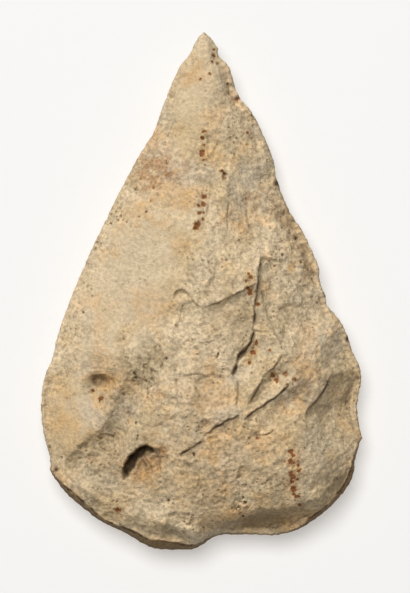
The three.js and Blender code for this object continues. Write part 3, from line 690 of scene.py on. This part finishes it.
def roughen(x, y, relief, masks, edgy):     # facets all over, finer grains in the rough patches
    calm = np.zeros_like(x)
    for at, turn, long, wide in stone["calmAreas"]:
        calm = np.maximum(calm, patch(x, y, at, turn, long, wide))
    masks["calm"] = calm
    rough = (1 - 0.5 * calm) * 0.16 * layered(x, y, 2.2, 2)
    relief += edgy * 0.16 * layered(x, y, 7, 3, 4)
    for cell, height in stone["facets"]:
        facets, border = chipped(x, y, cell, int(cell))
        relief += edgy * (1 - 0.75 * calm) * height * facets
        most(masks, "seamDirtAndShade", ..., 0.3 * (1 - calm) * border * ramp(-0.3, 0.3, noise(x / 8, y / 8)))
    for zone in roughPatches:
        bearing, along, across = zone["grain"]
        u, v = turned(x, y, zone["at"], bearing)
        inZone = inPatch(x, y, zone)
        facets, border = chipped(u * across / along, v, 1.5 * across, int(zone["turn"]))
        grains = layered(u * across / along, v, across, 3, zone["at"][1])
        rough += zone["rise"] * inZone * (0.45 * grains + 1.1 * facets)
        most(masks, "seamDirtAndShade", ..., 0.45 * inZone * border * ramp(-0.4, 0.3, grains))
    relief += edgy * rough
    # darker in the low parts of the rough relief, grime with painted shade; paler on its raised parts,
    # wear with painted highlight
    masks["grimeAndShade"] = 0.35 * ramp(0.1, 0.5, -rough) * edgy
    masks["worn"] = 0.6 * ramp(0.05, 0.45, rough)


def pitTheFace(x, y, relief, masks, edgy):
    # pits, single pits, hollows and edge bites are darkened inside: dirt and painted shade
    for i, zone in enumerate(pittedPatches):
        warpX, warpY = x + 1.1 * layered(x, y, 2.4, 2, i), y + 1.1 * layered(x, y, 2.4, 2, 40 + i)
        pits = inPatch(x, y, zone) * pitField(warpX, warpY, zone["cell"], zone["share"], i)
        relief -= edgy * zone["deep"] * pits
        most(masks, "seamDirtAndShade", ..., 0.75 * pits * min(zone["deep"] / 0.7, 1))
    for cx, cy, radius, deep, rust, dirt in singlePits:
        near = np.hypot(x - cx, y - cy) < 3 * radius
        out = np.hypot(x[near] - cx, y[near] - cy) / radius + 0.6 * layered(x[near], y[near], 1.3, 2)
        relief[near] -= deep * np.clip(1 - out ** 2, 0, 1)
        most(masks, "rust", near, rust * (1.5 - out))
        most(masks, "seamDirtAndShade", near, dirt * (1.35 - out))
    for at, turn, long, wide, deep, dirt in hollows:
        along, across = turned(x, y, at, turn)
        out = (along / long) ** 2 + (across / wide) ** 2 + 0.3 * layered(x, y, 3, 2, deep)
        relief -= deep * np.clip(1 - out, 0, 1) ** 0.8
        most(masks, "seamDirtAndShade", ..., dirt * (1.3 - out))
    for cx, cy, radius, deep, dirt in edgeBites:
        out = np.hypot(x - cx, y - cy) / radius
        relief -= deep * np.clip(1 - out ** 2, 0, 1) * edgy
        most(masks, "seamDirtAndShade", ..., dirt * (1.3 - out))


def upperFace(x, y):
    d, scar, butt, blunt, rise = faceFields(x, y, True)
    inside, edgy = ramp(0, 3, d), ramp(0, 0.9, d)
    band = ramp(0.5, 1.4, blunt) * (1 - ramp(0.85, 1.1, d / blunt))     # the blunt side round the butt
    layers = np.sin(2 * math.pi * (d / 1.3 + 0.7 * layered(x, y, 9, 2, 5)))     # and the layers it shows
    relief = inside * (0.8 * swell(x, y) - scarDepth(x, y, upperScars)) - edgy * scar
    masks = {name: np.zeros_like(x) for name in maskNames}
    cutSteps(x, y, relief, masks, edgy)
    turnArrises(x, y, relief, masks, inside)
    openCracks(x, y, relief, masks)
    roughen(x, y, relief, masks, edgy)
    relief += 0.25 * band * layers
    pitTheFace(x, y, relief, masks, edgy)
    for name, at, turn, long, wide, strength in stains:
        most(masks, name, ..., strength * patch(x, y, at, turn, long, wide))
    most(masks, "ochre", ..., band)
    # the blunt side round the butt faces down: painted shade on it and along the butt's very edge, in the
    # grime and olive colours; dark lines along its top and its layers, part dirt, part painted shade
    most(masks, "grimeAndShade", ..., 0.6 * band + 0.4 * butt * (1 - ramp(0, 1.4, d)))
    most(masks, "olive", ..., 0.75 * band)
    topLine = ramp(1, 2, blunt) * (1 - abs(d - blunt) / 0.9) + 0.5 * band * ramp(0.3, 0.9, layers)
    most(masks, "seamDirtAndShade", ..., topLine * ramp(-0.5, 0.2, noise(x / 6, y / 6)))
    return edgeHeight(x, y) + rise + relief, masks


def lowerFace(x, y):
    d, scar, butt, _, rise = faceFields(x, y, False)
    inside, edgy = ramp(0, 3, d), ramp(0, 0.9, d)
    relief = inside * (0.6 * swell(x + 60, y - 40) + scarDepth(x, y, lowerScars)) + edgy * scar
    relief += edgy * (0.08 * layered(x, y, 2.6, 2, 8) + 0.25 * layered(x, y, 9, 3, 6))
    pits = patch(x, y, (10, -40), 90, 60, 45) * pitField(x, y, 5, 0.25, 31)
    relief += 0.4 * pits
    masks = {name: np.zeros_like(x) for name in maskNames}
    masks["grimeAndShade"] = 0.6 * pits + 0.2 * patch(x, y, (-20, -60), 40, 30, 16)
    masks["ochre"] = 0.4 * patch(x, y, (20, -20), 70, 50, 30) + 0.3 * butt
    masks["grey"] = 0.3 * patch(x, y, (-10, 50), 80, 30, 18)
    masks["calm"] = 0.6 + 0 * x
    worn = 0.35 * inside * np.maximum(0, layered(x, y, 6, 3, 12))     # shallow hollows, flat spot too
    return np.maximum(0, edgeHeight(x, y) - rise + relief) + worn, masks


# ---- the mesh: both faces on jittered lattices that share the edge
def toRim(points):
    return alongLine(points[:, 0], points[:, 1], rim)[0]


def faceGrid(step, shift, lines):
    rng = np.random.default_rng(stone["seed"] + shift)
    low, high = rim.min(0), rim.max(0)
    rows = np.arange(low[1], high[1], step * 0.866)
    cols = np.arange(low[0], high[0], step)
    gx, gy = np.meshgrid(cols, rows)
    gx[1::2] += step / 2
    moved = rng.uniform(-stone["jitter"], stone["jitter"], (gx.size, 2)) * step
    points = np.column_stack([gx.ravel(), gy.ravel()]) + moved
    inside, away = np.zeros(len(points), bool), np.full(len(points), 1e9)
    for a, b in zip(rim, np.roll(rim, -1, 0)):
        crossing = (a[1] > points[:, 1]) != (b[1] > points[:, 1])
        where = a[0] + (points[:, 1] - a[1]) * (b[0] - a[0]) / (b[1] - a[1] if b[1] != a[1] else 1e-9)
        inside ^= crossing & (points[:, 0] < where)
        away = np.minimum(away, np.hypot(points[:, 0] - a[0], points[:, 1] - a[1]))
    points = points[inside & (away > 0.55 * min(step, stone["rimStep"] * 1.1))]
    for line in lines:
        near = nearLine(points[:, 0], points[:, 1], line["walk"], 1)
        close = alongLine(points[near, 0], points[near, 1], line["walk"])[0] < 0.5
        points = np.delete(points, np.flatnonzero(near)[close], 0)
    for line in lines:      # a row of points on either side of each line, so that it stays crisp
        side = normals(line["walk"])[2:-2] * 0.22
        pair = np.vstack([line["walk"][2:-2] + side, line["walk"][2:-2] - side])
        points = np.vstack([points, pair[toRim(pair) > 0.5]])
    for shifted in ((0, 0), (0.5, 0), (0, 0.5), (0.5, 0.5)):      # no two points nearer than half a cell
        cells = np.floor(points / stone["leastGap"] + shifted)
        points = points[np.sort(np.unique(cells, axis=0, return_index=True)[1])]
    points = np.vstack([points, rim[[-1, 0, 1]].mean(0)])      # keeps the two faces apart at the tip
    flat = [Vector(p) for p in rim] + [Vector(p) for p in points]
    loop = list(range(len(rim)))
    made = delaunay_2d_cdt(flat, [], [loop], 1, 1e-7)
    return np.array([v[:] for v in made[0]]), np.array(made[2])


def buildStone():
    upperXY, upperTris = faceGrid(stone["upperStep"], 20, upperSteps + upperCracks + upperArrises)
    lowerXY, lowerTris = faceGrid(stone["lowerStep"], 21, [])
    n = len(rim)
    print("lattices:", len(upperTris), "and", len(lowerTris), "triangles")
    upperZ, upperMasks = upperFace(upperXY[:, 0], upperXY[:, 1])
    lowerZ, lowerMasks = lowerFace(lowerXY[:, 0], lowerXY[:, 1])
    upperZ[:n] = edgeHeight(rim[:, 0], rim[:, 1]) + 0.3 * layered(rim[:, 0], rim[:, 1], 5, 3, 2)
    coords = np.vstack([np.column_stack([upperXY, upperZ]), np.column_stack([lowerXY, lowerZ])[n:]])
    lowerTris = np.where(lowerTris < n, lowerTris, lowerTris + len(upperXY) - n)[:, ::-1]
    masks = {name: np.concatenate([upperMasks[name], lowerMasks[name][n:]]) for name in upperMasks}
    scale = (axeHigh.y - axeLow.y) / stone["length"]
    middle = (coords.min(0) + coords.max(0)) / 2
    coords = (coords - [middle[0], middle[1], 0]) * scale
    coords += [(axeLow.x + axeHigh.x) / 2, (axeLow.y + axeHigh.y) / 2, axeLow.z]
    mesh = bpy.data.meshes.new("handAxeStone")
    mesh.from_pydata(coords.tolist(), [], np.vstack([upperTris, lowerTris]).tolist())
    for name, values in masks.items():
        mesh.attributes.new(name, "FLOAT", "POINT").data.foreach_set("value", np.clip(values, 0, 1))
    piece = bpy.data.objects.new("handAxeStone", mesh)
    bpy.context.collection.objects.link(piece)
    return piece


axe = buildStone()
bpy.context.view_layer.objects.active = axe
axe.select_set(True)
bpy.ops.object.mode_set(mode="EDIT")
bpy.ops.mesh.select_all(action="SELECT")
bpy.ops.mesh.normals_make_consistent(inside=False)
bpy.ops.object.mode_set(mode="OBJECT")
bpy.ops.object.shade_smooth()
print("stone built:", len(axe.data.polygons), "faces, height",
      round(max(v.co.z for v in axe.data.vertices) * 1000, 1), "mm")


# ---- material: weathered stone
finish = {
    "pale": (0.62, 0.485, 0.31), "warm": (0.6, 0.4, 0.215), "cool": (0.55, 0.465, 0.34),
    "buff": (0.54, 0.405, 0.235), "ochre": (0.52, 0.315, 0.125), "grey": (0.5, 0.43, 0.31),
    "rosy": (0.4, 0.225, 0.105), "olive": (0.21, 0.17, 0.095), "rust": (0.2, 0.06, 0.018),
    # the grime and dark colours serve dirt and specks, and painted shade too
    "grimeAndShade": (0.16, 0.095, 0.04), "dark": (0.055, 0.03, 0.013),
    "roughness": 0.9, "shine": 0.25,
    "broadGrain": 26, "middleGrain": 150, "fineGrain": 620, "specks": 480,      # to the metre
    "bumpStrength": 0.8, "bumpHeight": 0.0011,
}

stoneLook = bpy.data.materials.new("weatheredStone")
stoneLook.use_nodes = True
nodes, links = stoneLook.node_tree.nodes, stoneLook.node_tree.links
shader = nodes["Principled BSDF"]
shader.inputs["Roughness"].default_value = finish["roughness"]
shader.inputs["Specular IOR Level"].default_value = finish["shine"]
place = nodes.new("ShaderNodeTexCoord").outputs["Object"]


def grain(scale, detail=3, rough=0.6):
    tex = nodes.new("ShaderNodeTexNoise")
    tex.inputs["Scale"].default_value = scale
    tex.inputs["Detail"].default_value = detail
    tex.inputs["Roughness"].default_value = rough
    links.new(place, tex.inputs["Vector"])
    return tex.outputs["Fac"]


def spread(value, low, high, out0=0, out1=1):       # low to high becomes out0 to out1
    curve = nodes.new("ShaderNodeMapRange")
    curve.interpolation_type = "SMOOTHSTEP"
    for socket, v in zip(("From Min", "From Max", "To Min", "To Max"), (low, high, out0, out1)):
        curve.inputs[socket].default_value = v
    links.new(value, curve.inputs["Value"])
    return curve.outputs["Result"]


def calc(a, b, kind="MULTIPLY"):
    node = nodes.new("ShaderNodeMath")
    node.operation = kind
    for socket, v in zip(node.inputs, (a, b)):
        if isinstance(v, (int, float)):
            socket.default_value = v
        else:
            links.new(v, socket)
    return node.outputs[0]


def blendIn(under, over, amount, kind="MIX"):
    mix = nodes.new("ShaderNodeMix")
    mix.data_type, mix.blend_type = "RGBA", kind
    for socket, v in ((mix.inputs[0], amount), (mix.inputs[6], under), (mix.inputs[7], over)):
        if isinstance(v, tuple):
            socket.default_value = (*v, 1)
        elif isinstance(v, (int, float)):
            socket.default_value = v
        else:
            links.new(v, socket)
    return mix.outputs[2]


def mask(name):     # drawn on the stone with its shape
    node = nodes.new("ShaderNodeAttribute")
    node.attribute_name = name
    return node.outputs["Fac"]


def grey(value):
    node = nodes.new("ShaderNodeCombineColor")
    for socket in node.inputs:
        links.new(value, socket)
    return node.outputs["Color"]


broad, middling = grain(finish["broadGrain"]), grain(finish["middleGrain"], 4)
fine = grain(finish["fineGrain"], 4, 0.7)
tone = blendIn(finish["pale"], finish["buff"], spread(broad, 0.42, 0.6))
tone = blendIn(tone, finish["warm"], calc(spread(grain(38, 4), 0.48, 0.66), 0.75))
tone = blendIn(tone, finish["cool"], calc(spread(grain(31, 4), 0.5, 0.66), 0.6))
tone = blendIn(tone, finish["grey"], calc(mask("grey"), spread(middling, 0.3, 0.7, 0.5, 1)))
tone = blendIn(tone, finish["ochre"], calc(spread(grain(75, 5, 0.65), 0.5, 0.72), 0.5))
tone = blendIn(tone, finish["ochre"], calc(mask("ochre"), spread(middling, 0.3, 0.7, 0.45, 1)))
# dull olive colour, with painted shade where the face turns down and on the blunt side
tone = blendIn(tone, finish["olive"], calc(mask("olive"), spread(middling, 0.3, 0.7, 0.35, 1)))
tone = blendIn(tone, finish["rosy"], calc(mask("rosy"), spread(grain(260, 3, 0.7), 0.35, 0.6, 0.1, 0.9)))
broken = calc(calc(fine, 0.5, "SUBTRACT"), 1.5)
tone = blendIn(tone, finish["ochre"], calc(spread(mask("rust"), 0, 0.6), 0.6))
tone = blendIn(tone, finish["rust"], calc(spread(calc(mask("rust"), broken, "ADD"), 0.42, 0.72), 0.92))
# paler on raised grain: part wear, part painted highlight
tone = blendIn(tone, finish["pale"], mask("worn"))
# grime, with painted shade in the low parts of the rough relief and on the blunt side round the butt
tone = blendIn(tone, finish["grimeAndShade"], calc(mask("grimeAndShade"), spread(fine, 0.25, 0.6, 0.6, 1)))
# dark at the foot of steps and in cracks, pits, hollows and bites: dirt and painted shade, near black at
# the darkest
tone = blendIn(tone, finish["grimeAndShade"], calc(spread(mask("seamDirtAndShade"), 0.1, 0.7), 0.5))
tone = blendIn(tone, finish["dark"], calc(spread(calc(mask("seamDirtAndShade"), broken, "ADD"), 0.5, 0.85), 0.85))
mottle = calc(spread(middling, 0.3, 0.7, 0.84, 1.12), spread(fine, 0.35, 0.65, 0.7, 1.2))
tone = blendIn(tone, grey(mottle), spread(mask("calm"), 0, 1, 1, 0.5), "MULTIPLY")

specks = nodes.new("ShaderNodeTexVoronoi")
specks.inputs["Scale"].default_value = finish["specks"]
links.new(place, specks.inputs["Vector"])
speck = calc(spread(specks.outputs["Distance"], 0.2, 0.34, 1, 0), spread(grain(110, 3), 0.48, 0.64))
speck = calc(speck, spread(mask("calm"), 0, 1, 1, 0.5))
tone = blendIn(tone, finish["grimeAndShade"], calc(speck, 0.6))
links.new(tone, shader.inputs["Base Color"])

bump = nodes.new("ShaderNodeBump")
bump.inputs["Strength"].default_value = finish["bumpStrength"]
bump.inputs["Distance"].default_value = finish["bumpHeight"]
links.new(calc(calc(fine, middling, "ADD"), calc(speck, -0.4), "ADD"), bump.inputs["Height"])
links.new(bump.outputs["Normal"], shader.inputs["Normal"])
axe.data.materials.append(stoneLook)
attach(axe, "root")
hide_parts("hand_axe")
print("stone finished")


# ---- floor, light and camera, in metres
studio = {
    "floorSize": 4, "floorColour": (0.68, 0.676, 0.67), "floorGlow": (0.385, 0.38, 0.372),
    "floorGap": 0.0002,
    "keyAt": (-0.95, 1.9, 1.9), "keySize": 0.5, "keyPower": 49,
    "overAt": (-0.3, 0.75, 2.7), "overSize": 1.3, "overPower": 56, "ambient": 0.14,
    "lens": 200, "viewHeight": 0.2633, "lookAt": (0.0015, -0.0024),
}
middle = (axeLow + axeHigh) / 2
bpy.ops.object.select_all(action="DESELECT")
bpy.ops.mesh.primitive_grid_add(x_subdivisions=8, y_subdivisions=8, size=studio["floorSize"],
                                location=(middle.x, middle.y, axeLow.z - studio["floorGap"]))
floor = bpy.context.object
floor.name = "studioFloor"
bpy.ops.object.transform_apply(location=True, rotation=True, scale=True)
paper = bpy.data.materials.new("palePaper")
paper.use_nodes = True
paperShader = paper.node_tree.nodes["Principled BSDF"]
paperShader.inputs["Base Color"].default_value = (*studio["floorColour"], 1)
paperShader.inputs["Roughness"].default_value = 1
paperShader.inputs["Specular IOR Level"].default_value = 0
paperShader.inputs["Emission Color"].default_value = (*studio["floorGlow"], 1)
paperShader.inputs["Emission Strength"].default_value = 1
floor.data.materials.append(paper)


def softLight(name, at, size, power):
    bpy.ops.object.light_add(type="AREA", location=at)
    light = bpy.context.object
    light.name = name
    light.data.shape, light.data.size, light.data.energy = "DISK", size, power
    light.rotation_euler = (middle - light.location).to_track_quat("-Z", "Y").to_euler()
    return light


softLight("overheadLight", studio["overAt"], studio["overSize"], studio["overPower"])
key = softLight("sideLight", studio["keyAt"], studio["keySize"], studio["keyPower"])
onStone = bpy.data.collections.new("litFromTheSide")     # the side light models the stone alone
onStone.objects.link(axe)
key.light_linking.receiver_collection = onStone

world = bpy.data.worlds.new("softRoom")
world.use_nodes = True
world.node_tree.nodes["Background"].inputs["Color"].default_value = (1, 1, 1, 1)
world.node_tree.nodes["Background"].inputs["Strength"].default_value = studio["ambient"]
bpy.context.scene.world = world
bpy.context.scene.view_settings.view_transform = "Standard"

edgeLevel = axeLow.z + stone["edgeHeight"] / 1000
sensor = 36
above = studio["viewHeight"] * studio["lens"] / sensor
bpy.ops.object.camera_add(rotation=(0, 0, 0), location=(
    middle.x + studio["lookAt"][0], middle.y + studio["lookAt"][1], edgeLevel + above))
camera = bpy.context.object
camera.data.lens, camera.data.sensor_fit = studio["lens"], "VERTICAL"
camera.data.sensor_height = sensor
camera.data.clip_end = 20
bpy.context.scene.camera = camera
print("studio set")
